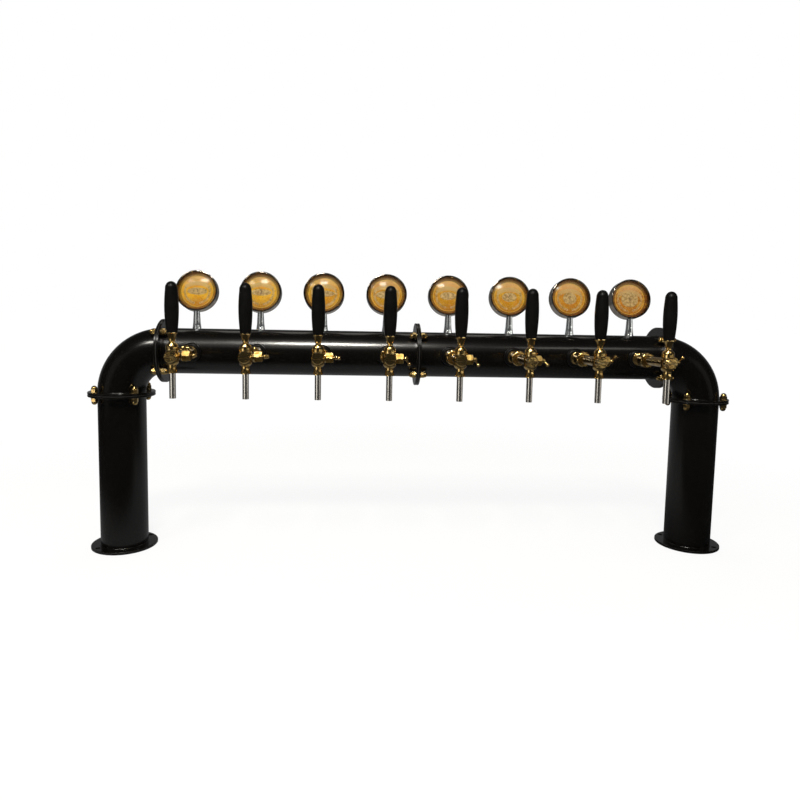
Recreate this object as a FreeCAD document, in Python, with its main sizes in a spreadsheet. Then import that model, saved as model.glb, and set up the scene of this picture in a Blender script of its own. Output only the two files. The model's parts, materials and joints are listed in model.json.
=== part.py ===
import FreeCAD, Part
import math
import os
import re

import Sketcher

# A beer tower of eight taps: a black tube bent over the counter like a goalpost, in flanged pieces.
# Millimetres. X runs along the arms, Y away from the person who pours, Z up from the counter.
# The origin is on the counter, midway between the two legs.

Vector = FreeCAD.Vector
DEPTH = Vector(0, 1, 0)
UP = Vector(0, 0, 1)
LEFTWARD = Vector(-1, 0, 0)

# The driving dimensions: a word, its size in millimetres, degrees or a count, and what it measures.
DIMENSIONS = [
    ("tap_count", 8, "taps on the two arms together"),
    ("tap_pitch", 142, "from one tap to the next"),
    ("pipe_diameter", 102, "outside of the tube"),
    ("pipe_wall", 2, "wall of the tube"),
    ("axis_height", 448, "counter to the axis of the arms"),
    ("bend_radius", 97, "axis of the elbows"),
    ("flange_diameter", 142, "all flanges"),
    ("flange_thickness", 4.5, "flanges of the joints"),
    ("foot_thickness", 6, "flanges on the counter"),
    ("flange_edge", 0.8, "broken edge of the flanges"),
    ("gasket_thickness", 1, "between two flanges"),
    ("bolt_circle", 122, "centres of the bolts of a joint"),
    ("bolt_count", 4, "bolts of a joint"),
    ("bolt_hole", 9, "hole for a bolt of a joint"),
    ("foot_hole", 11, "hole for a bolt through the counter"),
    ("stud_diameter", 8, "studs of the joints"),
    ("cap_nut_flats", 13, "across the flats of a cap nut"),
    ("cap_nut_collar", 15, "round foot of a cap nut"),
    ("cap_nut_foot", 1.4, "height of that foot"),
    ("cap_nut_hex", 8.4, "up to the top of its hexagon"),
    ("cap_nut_height", 16, "with its dome"),
    ("cap_nut_bore", 12, "depth of its thread"),
    ("thread_play", 0.05, "between a thread and its nut, on the radius"),
    ("shank_hole", 23, "in the front of the arms"),
    ("shank_diameter", 22, "thread of a shank"),
    ("shank_bore", 6, "beer way of a shank"),
    ("shank_tail", 12, "axis of the tube forward to the end of a shank"),
    ("shank_tail_diameter", 9, "stub for the beer line"),
    ("shank_tail_length", 12, "stub for the beer line"),
    ("shank_collar", 28.6, "front thread of a shank"),
    ("collar_front", 96, "axis of the tube forward to the front of a shank"),
    ("lock_nut_flats", 27, "nut inside the tube on a shank"),
    ("lock_nut_height", 6, "nut inside the tube on a shank"),
    ("saddle_washer", 34, "washer under that nut"),
    ("washer_back", 8, "front of the tube in to the flat back of that washer"),
    ("rosette_diameter", 42, "cover ring on the tube"),
    ("rosette_front", 57, "axis of the tube forward to the front of the cover ring"),
    ("rosette_back", 44, "axis of the tube forward to the back of the cover ring"),
    ("coupling_diameter", 33, "nut that holds a tap on its shank"),
    ("coupling_length", 19, "nut that holds a tap on its shank"),
    ("coupling_grip", 11.5, "how far that nut reaches back over the shank"),
    ("coupling_notches", 6, "spanner notches of that nut"),
    ("barrel_diameter", 20, "round neck of a tap"),
    ("hub_depth", 187, "axis of the tube forward to the upright axis of a tap"),
    ("hub_diameter", 26, "middle of a tap"),
    ("neck_diameter", 22.8, "thread at the top of a tap"),
    ("collar_diameter", 16.6, "where the spout goes in"),
    ("collar_mouth", 20, "flared end of that collar"),
    ("collar_bottom", 33, "tap axis down to that end"),
    ("front_boss", 24, "round front of a tap"),
    ("front_face", 203.5, "axis of the tube forward to the front of a tap"),
    ("plug_diameter", 22, "slotted plug in the front"),
    ("plug_thickness", 4.5, "its head"),
    ("plug_slot", 1.6, "depth of its driver slot"),
    ("piston_bore", 12.6, "bore of a tap"),
    ("beer_way", 4.2, "radius of the narrow ways through a tap"),
    ("piston_diameter", 12.44, "sliding valve piston"),
    ("piston_length", 26, "sliding valve piston"),
    ("spout_diameter", 12.5, "stainless spout"),
    ("spout_wall", 1, "stainless spout"),
    ("spout_bottom", 83, "tap axis down to the end of the spout"),
    ("ball_radius", 10, "ball that a handle turns on"),
    ("ball_height", 19.5, "tap axis up to the centre of the ball"),
    ("ball_play", 0.3, "round the ball"),
    ("bonnet_diameter", 25, "nut over the ball"),
    ("finger_length", 16.5, "ball centre down to the tip that moves the piston"),
    ("finger_radius", 2.2, "that tip"),
    ("finger_neck", 1.6, "radius of the finger above its tip"),
    ("ferrule_height", 27, "ball centre up to the rim of the brass cup"),
    ("ferrule_diameter", 21.6, "rim of the brass cup"),
    ("grip_length", 99, "black grip"),
    ("grip_foot", 21, "grip at the brass cup"),
    ("grip_belly", 27.2, "grip at its thickest"),
    ("grip_shoulder", 23.4, "grip below its rounded top"),
    ("grip_crown", 15.2, "where its shoulder turns into its crown"),
    ("grip_crown_rise", 3.2, "height of that crown"),
    ("grip_thread", 8, "stud that the grip screws on"),
    ("flow_depth", 163, "axis of the tube forward to the spindle of the flow control"),
    ("flow_boss", 14, "tap axis out to the end of its boss"),
    ("flow_boss_diameter", 21, "end of its boss"),
    ("flow_nut_flats", 20, "across the flats of its gland nut"),
    ("flow_nut_end", 29.5, "tap axis out to the end of the gland nut"),
    ("spindle_diameter", 6, "spindle of the flow control"),
    ("spindle_play", 0.05, "round the spindle, on the radius"),
    ("lever_hub", 34.5, "tap axis out to the hub ball of the flow lever"),
    ("lever_reach", 13, "between the two balls of the flow lever"),
    ("lever_lean", 30, "degrees that the flow lever leans outwards"),
    ("hub_ball", 4.5, "radius of the hub ball"),
    ("end_ball", 3.7, "radius of the ball at the end"),
    ("badge_diameter", 92, "round badge above each tap"),
    ("badge_depth", 25, "its housing with the ring"),
    ("badge_wall", 2.2, "its housing"),
    ("dome_rise", 8, "clear dome over a badge"),
    ("badge_lean", 10, "degrees that a badge leans back"),
    ("stem_height", 38, "crest of the tube up to the bottom of a badge"),
    ("stem_hole", 10.5, "in the top of the arms"),
    ("stem_foot", 19, "flared foot of a stem on the tube"),
    ("stem_waist", 15.6, "stem above its flared foot"),
    ("stem_top", 13.4, "stem under its badge"),
    ("stem_thread", 10, "foot of a stem inside the tube"),
    ("stem_bore", 5.2, "wire way of a stem"),
    ("stem_nut_flats", 17, "nut inside the tube on a stem"),
    ("stem_nut_height", 5, "nut inside the tube on a stem"),
]

# How far each flow lever stands up from straight forward, in degrees, from the left tap to the right.
FLOW_LEVER_ANGLES = [8, 4, 0, -80, -75, -45, 60, 60]

doc = FreeCAD.newDocument("BeerTower")
sheet = doc.addObject("Spreadsheet::Sheet", "Dims")
for row, (alias, number, meaning) in enumerate(DIMENSIONS, start=1):
    sheet.set(f"A{row}", meaning)
    sheet.set(f"B{row}", str(number))
    sheet.setAlias(f"B{row}", alias)
doc.recompute()

ALIASES = {alias for alias, number, meaning in DIMENSIONS}

# Lengths that several pieces share, written as expressions on the sheet.
RUN = "(tap_pitch * tap_count / 2)"
LEG_X = f"({RUN} + bend_radius)"
JOINT_HEIGHT = "(axis_height - bend_radius)"
TUBE = "(pipe_diameter / 2)"
BORE = "(pipe_diameter / 2 - pipe_wall)"
BADGE = "(badge_diameter / 2)"
TAPS_PER_ARM = "(tap_count / 2)"
BALL_SEAT = "(ball_radius + ball_play)"
WASHER_BACK = "(pipe_diameter / 2 - washer_back)"

nodes = {}


def station(number):
    """How far across a tap stands. The left one is number 1."""
    return f"(tap_pitch * ({number} - (tap_count + 1) / 2))"


def bound(text):
    """An expression in which each alias is a cell of the sheet."""
    return re.sub(r"[a-z_]{3,}", lambda word: "Dims." + word[0] if word[0] in ALIASES else word[0], text)


def size(text):
    """What an expression on the sheet comes to."""
    return float(sheet.evalExpression(bound(text)))


def bind(thing, path, text):
    """Tie one property of an object to the sheet."""
    thing.setExpression(path, bound(text))


def place(thing, across="0", depth="0", height="0"):
    """Put an object's own origin at a point that the sheet gives."""
    for letter, text in zip("xyz", (across, depth, height)):
        if text != "0":
            bind(thing, f"Placement.Base.{letter}", text)


def new_body(label, node=True):
    """A body with its own label. A repeated piece may fill it with separate solids."""
    body = doc.addObject("PartDesign::Body", label)
    body.Label = label
    body.AllowCompound = True
    if node:
        nodes[label] = body
    return body


def origin(body, role):
    """A plane or an axis of the body's own origin."""
    return next(feature for feature in body.Origin.OriginFeatures if feature.Role == role)


def dome_radius(edge, rise):
    """The radius of a round cap, from the radius of its rim and its rise above the rim."""
    return f"(({edge}) * ({edge}) + ({rise}) * ({rise})) / 2 / ({rise})"


def lean_about(thing, axis, angle):
    """Turn an object about an axis by an angle of the sheet."""
    thing.Placement = FreeCAD.Placement(Vector(), FreeCAD.Rotation(axis, size(angle)))
    bind(thing, "Placement.Rotation.Angle", angle)


def new_sketch(body, name, plane, at=("0", "0", "0"), turn="0"):
    """A sketch on a plane of the body, shifted across, up and out of that plane, and turned in it."""
    sketch = body.newObject("Sketcher::SketchObject", name)
    sketch.AttachmentSupport = [(origin(body, plane), "")]
    sketch.MapMode = "FlatFace"
    if turn != "0":
        sketch.AttachmentOffset = FreeCAD.Placement(Vector(), FreeCAD.Rotation(UP, size(turn)))
        bind(sketch, "AttachmentOffset.Rotation.Angle", turn)
    for letter, text in zip("xyz", at):
        if text != "0":
            bind(sketch, f"AttachmentOffset.Base.{letter}", text)
    return sketch


def hold(sketch, kind, text, *where):
    """A dimension of the sketch that follows the sheet."""
    number = sketch.addConstraint(Sketcher.Constraint(kind, *where, size(text)))
    bind(sketch, f"Constraints[{number}]", text)


def hold_point(sketch, element, end, across, up):
    """Hold an end or a centre at a point, or on an axis where a coordinate is nought."""
    for kind, text, axis in (("DistanceX", across, -2), ("DistanceY", up, -1)):
        if abs(size(text)) < 1e-9:
            sketch.addConstraint(Sketcher.Constraint("PointOnObject", element, end, axis))
        else:
            hold(sketch, kind, text, -1, 1, element, end)


def draw_profile(sketch, corners):
    """A closed outline. A corner is its place across and up, with a radius if an arc leaves it.

    A radius above nought has its centre on the left of the way round, and below nought on the right.
    """
    points = [Vector(size(corner[0]), size(corner[1]), 0) for corner in corners]
    ends = []
    for index, corner in enumerate(corners):
        start, end = points[index], points[(index + 1) % len(points)]
        if len(corner) == 2:
            sketch.addGeometry(Part.LineSegment(start, end), False)
            ends.append((1, 2))
            continue
        radius = size(corner[2])
        chord = end - start
        left = Vector(-chord.y, chord.x, 0).normalize()
        rise = math.sqrt(radius ** 2 - (chord.Length / 2) ** 2)
        centre = (start + end) * 0.5 + left * math.copysign(rise, radius)
        first, last = (start, end) if radius > 0 else (end, start)
        from_angle = math.atan2(first.y - centre.y, first.x - centre.x)
        to_angle = math.atan2(last.y - centre.y, last.x - centre.x)
        if to_angle < from_angle:
            to_angle += 2 * math.pi
        circle = Part.Circle(centre, UP, abs(radius))
        sketch.addGeometry(Part.ArcOfCircle(circle, from_angle, to_angle), False)
        ends.append((1, 2) if radius > 0 else (2, 1))
    for index, corner in enumerate(corners):
        following = (index + 1) % len(corners)
        sketch.addConstraint(Sketcher.Constraint(
            "Coincident", index, ends[index][1], following, ends[following][0]))
        hold_point(sketch, index, ends[index][0], corner[0], corner[1])
        if len(corner) == 3:
            hold(sketch, "Radius", f"abs({corner[2]})", index)


def draw_circle(sketch, diameter, across="0", up="0"):
    """A circle whose size and centre follow the sheet."""
    centre = Vector(size(across), size(up), 0)
    number = sketch.addGeometry(Part.Circle(centre, UP, size(diameter) / 2), False)
    if size(across) == 0 and size(up) == 0:
        sketch.addConstraint(Sketcher.Constraint("Coincident", number, 3, -1, 1))
    else:
        hold_point(sketch, number, 3, across, up)
    hold(sketch, "Diameter", diameter, number)


def draw_hexagon(sketch, flats, sides=6):
    """A regular outline round the origin, its size given across the flats."""
    corner = f"({flats}) / 2 / cos(180 / {sides})"
    draw_profile(sketch, [(f"{corner} * cos({side * 360 / sides})", f"{corner} * sin({side * 360 / sides})")
                          for side in range(sides)])


def finish_feature(body, feature):
    """Work the feature out and make it the last step of its body."""
    body.Tip = feature
    doc.recompute()
    return feature


def turned(body, name, plane, corners, axis="V_Axis", at=("0", "0", "0"), turn="0", cut=False):
    """A profile turned about its sketch's axis, added to the body or cut from it."""
    sketch = new_sketch(body, name + "Profile", plane, at, turn)
    draw_profile(sketch, corners)
    kind = "PartDesign::Groove" if cut else "PartDesign::Revolution"
    feature = body.newObject(kind, name)
    feature.Profile = sketch
    feature.ReferenceAxis = (sketch, [axis])
    feature.Angle = 360
    return finish_feature(body, feature)


def raised(body, sketch, length, name, against=False):
    """A sketch raised along its normal, or against it."""
    feature = body.newObject("PartDesign::Pad", name)
    feature.Profile = sketch
    feature.Reversed = against
    bind(feature, "Length", length)
    return finish_feature(body, feature)


def sunk(body, sketch, length, name, along=False, both=False):
    """A sketch cut against its normal, along it, or to both sides."""
    feature = body.newObject("PartDesign::Pocket", name)
    feature.Profile = sketch
    feature.Reversed = along
    feature.Midplane = both
    bind(feature, "Length", length)
    return finish_feature(body, feature)


def ring_of(body, feature, sketch, count, name):
    """The feature repeated round the axis that stands on its sketch's origin."""
    pattern = body.newObject("PartDesign::PolarPattern", name)
    pattern.Originals = [feature]
    pattern.Axis = (sketch, ["N_Axis"])
    pattern.Angle = 360
    bind(pattern, "Occurrences", count)
    return finish_feature(body, pattern)


def row_of(body, name, count="tap_count", feature=None):
    """A feature, or the whole body, repeated along X at the pitch of the taps."""
    pattern = body.newObject("PartDesign::LinearPattern", name)
    if feature is None:
        pattern.TransformMode = "Whole shape"
    else:
        pattern.Originals = [feature]
    pattern.Direction = (origin(body, "X_Axis"), [""])
    pattern.Mode = "Spacing"
    bind(pattern, "Offset", "tap_pitch")
    bind(pattern, "Occurrences", count)
    return finish_feature(body, pattern)


def break_edges(body, diameter, width):
    """A chamfer on every round edge of one diameter."""
    base = body.Tip
    names = [f"Edge{number}" for number, edge in enumerate(base.Shape.Edges, start=1)
             if hasattr(edge.Curve, "Radius") and abs(2 * edge.Curve.Radius - size(diameter)) < 1e-4]
    chamfer = body.newObject("PartDesign::Chamfer", "BrokenEdges")
    chamfer.Base = (base, names)
    bind(chamfer, "Size", width)
    return finish_feature(body, chamfer)


def add_flange(body, name, plane, at, thickness, against=False, hole_diameter="bolt_hole"):
    """A round flange with its ring of bolt holes, standing on a plane of the body."""
    disc = new_sketch(body, name + "Disc", plane, at)
    draw_circle(disc, "flange_diameter")
    draw_circle(disc, "pipe_diameter - pipe_wall")
    raised(body, disc, thickness, name, against)
    hole = new_sketch(body, name + "Hole", plane, at)
    draw_circle(hole, hole_diameter, "bolt_circle / 2 * cos(45)", "bolt_circle / 2 * sin(45)")
    drilled = sunk(body, hole, thickness, name + "Drilled", along=not against)
    ring_of(body, drilled, hole, "bolt_count", name + "Bolting")


def add_tube(body, plane, at, length):
    """A straight stretch of the tube."""
    ring = new_sketch(body, "TubeRing", plane, at)
    draw_circle(ring, "pipe_diameter")
    draw_circle(ring, f"2 * {BORE}")
    raised(body, ring, length, "Tube")


def make_leg(label, across):
    """A leg: tube, foot flange on the counter and joint flange on top."""
    body = new_body(label)
    length = f"({JOINT_HEIGHT} - gasket_thickness)"
    add_tube(body, "XY_Plane", ("0", "0", "0"), length)
    add_flange(body, "Foot", "XY_Plane", ("0", "0", "0"), "foot_thickness", hole_diameter="foot_hole")
    add_flange(body, "Top", "XY_Plane", ("0", "0", length), "flange_thickness", against=True)
    break_edges(body, "flange_diameter", "flange_edge")
    place(body, across)


def make_elbow(label, across, turn):
    """A quarter bend with a flange at each end. It stands on its leg and turns towards the middle."""
    body = new_body(label)
    ring = new_sketch(body, "BendRing", "XY_Plane", ("bend_radius", "0", "0"))
    draw_circle(ring, "pipe_diameter", "-bend_radius")
    draw_circle(ring, f"2 * {BORE}", "-bend_radius")
    bend = body.newObject("PartDesign::Revolution", "Bend")
    bend.Profile = ring
    bend.ReferenceAxis = (ring, ["V_Axis"])
    bend.Angle = 90
    finish_feature(body, bend)
    add_flange(body, "Lower", "XY_Plane", ("0", "0", "0"), "flange_thickness")
    add_flange(body, "Upper", "YZ_Plane", ("0", "bend_radius", "bend_radius"), "flange_thickness",
               against=True)
    break_edges(body, "flange_diameter", "flange_edge")
    body.Placement = FreeCAD.Placement(Vector(), FreeCAD.Rotation(UP, turn))
    place(body, across, "0", JOINT_HEIGHT)


def make_arm(label, start, first_tap):
    """Half of the crossbar, drilled in front for the shanks and on top for the stems of the badges."""
    body = new_body(label)
    length = f"({RUN} - gasket_thickness * 3 / 2)"
    far_end = f"({start} + {length})"
    add_tube(body, "YZ_Plane", ("0", "0", start), length)
    add_flange(body, "Near", "YZ_Plane", ("0", "0", start), "flange_thickness")
    add_flange(body, "Far", "YZ_Plane", ("0", "0", far_end), "flange_thickness", against=True)
    break_edges(body, "flange_diameter", "flange_edge")
    for name, plane, hole in (("Shank", "XZ_Plane", "shank_hole"), ("Stem", "XY_Plane", "stem_hole")):
        sketch = new_sketch(body, name + "Hole", plane)
        draw_circle(sketch, hole, first_tap)
        drilled = sunk(body, sketch, "pipe_diameter", name + "Drilled", along=True)
        row_of(body, name + "Holes", TAPS_PER_ARM, drilled)
    place(body, height="axis_height")


def at_joints(label, master):
    """One piece set out at the five flanged joints of the tower, as a single node."""
    joints = [(f"-{LEG_X}", f"({JOINT_HEIGHT} - gasket_thickness / 2)", 0),
              (LEG_X, f"({JOINT_HEIGHT} - gasket_thickness / 2)", 0),
              (f"(gasket_thickness / 2 - {RUN})", "axis_height", 90),
              ("0", "axis_height", 90),
              (f"({RUN} - gasket_thickness / 2)", "axis_height", 90)]
    copies = []
    for number, (across, height, tip) in enumerate(joints, start=1):
        copy = doc.addObject("App::Link", f"{label}_{number}")
        copy.LinkedObject = master
        copy.Placement = FreeCAD.Placement(Vector(), FreeCAD.Rotation(DEPTH, tip))
        place(copy, across, "0", height)
        copies.append(copy)
    group = doc.addObject("Part::Compound", label)
    group.Label = label
    group.Links = copies
    nodes[label] = group


def bolt_spot(body, name, height):
    """A sketch that has its origin on the centre of one bolt of a joint."""
    return new_sketch(body, name, "XY_Plane",
                      ("bolt_circle / 2 * cos(45)", "bolt_circle / 2 * sin(45)", height))


def round_the_joint(body):
    """The whole body repeated round the axis of the joint."""
    pattern = body.newObject("PartDesign::PolarPattern", "RoundTheJoint")
    pattern.TransformMode = "Whole shape"
    pattern.Axis = (origin(body, "Z_Axis"), [""])
    pattern.Angle = 360
    bind(pattern, "Occurrences", "bolt_count")
    return finish_feature(body, pattern)


def make_gaskets():
    """A flat gasket with four bolt holes in each joint."""
    body = new_body("gasket_blank", node=False)
    ring = new_sketch(body, "GasketRing", "XY_Plane", ("0", "0", "-gasket_thickness / 2"))
    draw_circle(ring, "flange_diameter - 2 * flange_edge")
    draw_circle(ring, f"2 * {BORE}")
    raised(body, ring, "gasket_thickness", "Sheet")
    hole = new_sketch(body, "GasketHole", "XY_Plane", ("0", "0", "-gasket_thickness / 2"))
    draw_circle(hole, "bolt_hole", "bolt_circle / 2 * cos(45)", "bolt_circle / 2 * sin(45)")
    ring_of(body, sunk(body, hole, "gasket_thickness", "Punched", along=True), hole, "bolt_count",
            "Punching")
    at_joints("flange_gaskets", body)


def make_joint_hardware():
    """Studs through each joint, with a domed cap nut on both sides."""
    seat = "(gasket_thickness / 2 + flange_thickness)"
    stud_end = f"({seat} + cap_nut_bore - 1)"

    studs = new_body("stud_set", node=False)
    rod = bolt_spot(studs, "StudCircle", f"-{stud_end}")
    draw_circle(rod, "stud_diameter")
    raised(studs, rod, f"2 * {stud_end}", "Stud")
    round_the_joint(studs)
    at_joints("flange_studs", studs)

    nuts = new_body("cap_nut_set", node=False)
    foot = bolt_spot(nuts, "NutFoot", seat)
    draw_circle(foot, "cap_nut_collar")
    raised(nuts, foot, "cap_nut_foot", "Foot")
    hexagon = bolt_spot(nuts, "NutHexagon", seat)
    draw_hexagon(hexagon, "cap_nut_flats")
    raised(nuts, hexagon, "cap_nut_hex", "Hexagon")
    dome = "(cap_nut_flats / 2 - 0.3)"
    rise = "(cap_nut_height - cap_nut_hex)"
    turned(nuts, "Dome", "XZ_Plane",
           [("0", "0"), (dome, "0"), (dome, f"{rise} - 5.4", dome_radius(dome, "5.4")), ("0", rise)],
           at=("bolt_circle / 2 * cos(45)", f"{seat} + cap_nut_hex", "-bolt_circle / 2 * sin(45)"))
    thread = bolt_spot(nuts, "NutThread", seat)
    draw_circle(thread, "stud_diameter + 2 * thread_play")
    sunk(nuts, thread, "cap_nut_bore", "Thread", along=True)
    mirror = nuts.newObject("PartDesign::Mirrored", "OtherSide")
    mirror.TransformMode = "Whole shape"
    mirror.MirrorPlane = (origin(nuts, "XY_Plane"), [""])
    finish_feature(nuts, mirror)
    round_the_joint(nuts)
    at_joints("flange_cap_nuts", nuts)


def repeat_at_taps(body):
    """A piece of the left tap, repeated for every tap and set on the axis of the tube."""
    row_of(body, "AtEachTap")
    place(body, "-tap_pitch * (tap_count - 1) / 2", "0", "axis_height")


def make_rosettes():
    """Black cover rings. Their backs are hollowed to sit on the round tube."""
    body = new_body("tap_rosettes")
    rim = "rosette_diameter / 2"
    bore = "shank_diameter / 2 + 0.2"
    turned(body, "Ring", "XY_Plane",
           [(bore, "-rosette_back"), (rim, "-rosette_back"), (rim, "-rosette_front + 4", "-6"),
            (f"{rim} - 4.5", "-rosette_front"), (bore, "-rosette_front")])
    saddle = new_sketch(body, "Saddle", "YZ_Plane")
    draw_circle(saddle, "pipe_diameter")
    sunk(body, saddle, "2 * rosette_diameter", "SaddleCut", both=True)
    repeat_at_taps(body)


def make_shanks():
    """Threaded pipes through the front of the arms: a tail for the beer line and a collar outside."""
    body = new_body("tap_shanks")
    bore = "shank_bore / 2"
    thread = "shank_diameter / 2"
    tail = "shank_tail_diameter / 2"
    collar = "shank_collar / 2"
    turned(body, "Shank", "XY_Plane",
           [(bore, "-shank_tail"), (tail, "-shank_tail"), (tail, "-shank_tail - shank_tail_length"),
            (thread, "-shank_tail - shank_tail_length"), (thread, "-rosette_front"),
            (collar, "-rosette_front"), (collar, "-collar_front"), (bore, "-collar_front")])
    repeat_at_taps(body)


def make_lock_nuts():
    """Hexagon nuts inside the tube that draw the shanks up."""
    body = new_body("shank_lock_nuts")
    hexagon = new_sketch(body, "NutHexagon", "XZ_Plane", ("0", "0", f"{WASHER_BACK} - lock_nut_height"))
    draw_hexagon(hexagon, "lock_nut_flats")
    draw_circle(hexagon, "shank_diameter + 2 * thread_play")
    raised(body, hexagon, "lock_nut_height", "Nut")
    repeat_at_taps(body)


def make_saddle_washers():
    """Washers under the lock nuts, curved to the inside of the tube."""
    body = new_body("saddle_washers")
    disc = new_sketch(body, "WasherRing", "XZ_Plane", ("0", "0", WASHER_BACK))
    draw_circle(disc, "saddle_washer")
    draw_circle(disc, "shank_diameter + 0.6")
    raised(body, disc, f"{BORE} - {WASHER_BACK}", "Washer")
    outside = new_sketch(body, "TubeInside", "YZ_Plane")
    draw_circle(outside, "2 * pipe_diameter")
    draw_circle(outside, f"2 * {BORE}")
    sunk(body, outside, "2 * saddle_washer", "Crowned", both=True)
    repeat_at_taps(body)


def make_coupling_nuts():
    """Round nuts with spanner notches that clamp a tap's tail to its shank."""
    body = new_body("coupling_nuts")
    rim = "coupling_diameter / 2"
    thread = "shank_collar / 2 + thread_play"
    lip = "barrel_diameter / 2 + 0.3"
    back = "(collar_front - coupling_grip)"
    front = f"({back} + coupling_length)"
    turned(body, "Ring", "XY_Plane",
           [(thread, f"-{back}"), (rim, f"-{back}"), (rim, f"-{front} + 3", "-3.5"),
            (f"{rim} - 2.5", f"-{front}"), (lip, f"-{front}"), (lip, "-collar_front - 4"),
            (thread, "-collar_front - 4")])
    notch = new_sketch(body, "Notch", "XZ_Plane", ("0", "0", f"{back} + 4"))
    draw_profile(notch, [("2", f"{rim} - 1.2"), ("2", f"{rim} + 2"), ("-2", f"{rim} + 2"),
                         ("-2", f"{rim} - 1.2")])
    cut = sunk(body, notch, "coupling_length", "NotchCut", along=True)
    ring_of(body, cut, notch, "coupling_notches", "Notches")
    repeat_at_taps(body)


def make_tap_bodies():
    """The brass bodies: tail, neck, upright hub with its spout collar, round front, flow boss."""
    body = new_body("tap_bodies")
    neck = "barrel_diameter / 2"
    boss = "front_boss / 2"
    tail = "(collar_front + 0.3)"
    turned(body, "Neck", "XY_Plane",
           [("0", f"-{tail}"), ("13", f"-{tail}"), ("13", f"-{tail} - 3"), (neck, f"-{tail} - 3"),
            (neck, "-hub_depth + 18", "14"), (boss, "-hub_depth + 11"), (boss, "-front_face + 1.5"),
            (f"{boss} - 1.5", "-front_face"), ("0", "-front_face")])

    hub = "hub_diameter / 2"
    collar = "collar_diameter / 2"
    mouth = "collar_mouth / 2"
    top = "neck_diameter / 2"
    turned(body, "Hub", "YZ_Plane",
           [("0", "-collar_bottom"), (mouth, "-collar_bottom"), (mouth, "-collar_bottom + 1.5", "-28"),
            (collar, "-22"), (collar, "-17", "9"), (hub, "-9"), (hub, "7"), (top, "10"),
            (top, "ball_height - 0.5"), ("0", "ball_height - 0.5")],
           at=("-hub_depth", "0", "0"))
    turned(body, "FlowBoss", "XY_Plane",
           [("0", "0"), ("flow_boss", "0"), ("flow_boss", "flow_boss_diameter / 2"),
            ("flow_boss - 1.5", "flow_boss_diameter / 2", "-12"), ("8", "7"), ("0", "7")],
           axis="H_Axis", at=("0", "-flow_depth", "0"))

    turned(body, "BallSeat", "YZ_Plane",
           [("0", f"-{BALL_SEAT}", BALL_SEAT), (BALL_SEAT, "0"), (BALL_SEAT, "3"), ("0", "3")],
           at=("-hub_depth", "ball_height", "0"), cut=True)
    for name, reach, height in (("Lower", "10.8", "9.5"), ("Upper", "9.4", "13")):
        slot = new_sketch(body, name + "Slot", "XY_Plane", ("0", "-hub_depth", "0"))
        draw_profile(slot, [("3.3", f"-{reach}"), ("3.3", reach), ("-3.3", reach), ("-3.3", f"-{reach}")])
        sunk(body, slot, height, name + "Window", along=True)
    bore = "piston_bore / 2"
    turned(body, "Bore", "XY_Plane",
           [("0", f"-{tail} + 1"), ("beer_way", f"-{tail} + 1"), ("beer_way", "-hub_depth + 27"),
            (bore, "-hub_depth + 27"), (bore, "-front_face - 1"), ("0", "-front_face - 1")], cut=True)
    socket = "spout_diameter / 2 + thread_play"
    turned(body, "SpoutSocket", "YZ_Plane",
           [("0", "-collar_bottom - 1"), (socket, "-collar_bottom - 1"), (socket, "-17"),
            ("beer_way", "-17"), ("beer_way", "0"), ("0", "0")],
           at=("-hub_depth", "0", "0"), cut=True)
    spindle = "spindle_diameter / 2 + spindle_play"
    turned(body, "SpindleBore", "XY_Plane",
           [("4", "0"), ("flow_boss + 1", "0"), ("flow_boss + 1", spindle), ("4", spindle)],
           axis="H_Axis", at=("0", "-flow_depth", "0"), cut=True)
    repeat_at_taps(body)


def make_bonnet_nuts():
    """Rounded nuts that keep the ball of each handle in its seat."""
    body = new_body("bonnet_nuts")
    rim = "bonnet_diameter / 2"
    thread = "neck_diameter / 2 + thread_play"
    lip = f"sqrt({BALL_SEAT} * {BALL_SEAT} - 16)"
    turned(body, "Nut", "YZ_Plane",
           [(thread, "-7.2"), (rim, "-7.2"), (rim, "-1.5", "9"), (f"{rim} - 2", "4"),
            (lip, "4", f"-{BALL_SEAT}"), (BALL_SEAT, "0"), (BALL_SEAT, "-0.3"), (thread, "-0.3")],
           at=("-hub_depth", "ball_height", "0"))
    repeat_at_taps(body)


def make_front_plugs():
    """Slotted plugs that close the fronts of the bores."""
    body = new_body("front_plugs")
    rim = "plug_diameter / 2"
    stub = "(piston_bore / 2 - thread_play)"
    face = "(front_face + plug_thickness)"
    turned(body, "Plug", "XY_Plane",
           [("0", "-front_face + 1.4"), (stub, "-front_face + 1.4"), (stub, "-front_face - 0.05"),
            (rim, "-front_face - 0.05"), (rim, f"-{face} + 1.2"), (f"{rim} - 1.2", f"-{face}"),
            ("0", f"-{face}")])
    slot = new_sketch(body, "Slot", "XZ_Plane", ("0", "0", face))
    draw_profile(slot, [("-12", "-1.1"), ("12", "-1.1"), ("12", "1.1"), ("-12", "1.1")])
    sunk(body, slot, "plug_slot", "DriverSlot")
    repeat_at_taps(body)


def make_spouts():
    """Straight stainless spouts, open at the bottom."""
    body = new_body("spouts")
    outer = "spout_diameter / 2"
    inner = f"({outer} - spout_wall)"
    turned(body, "Spout", "YZ_Plane",
           [(inner, "-spout_bottom"), (outer, "-spout_bottom"), (outer, "-17.2"), (inner, "-17.2")],
           at=("-hub_depth", "0", "0"))
    repeat_at_taps(body)


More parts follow.
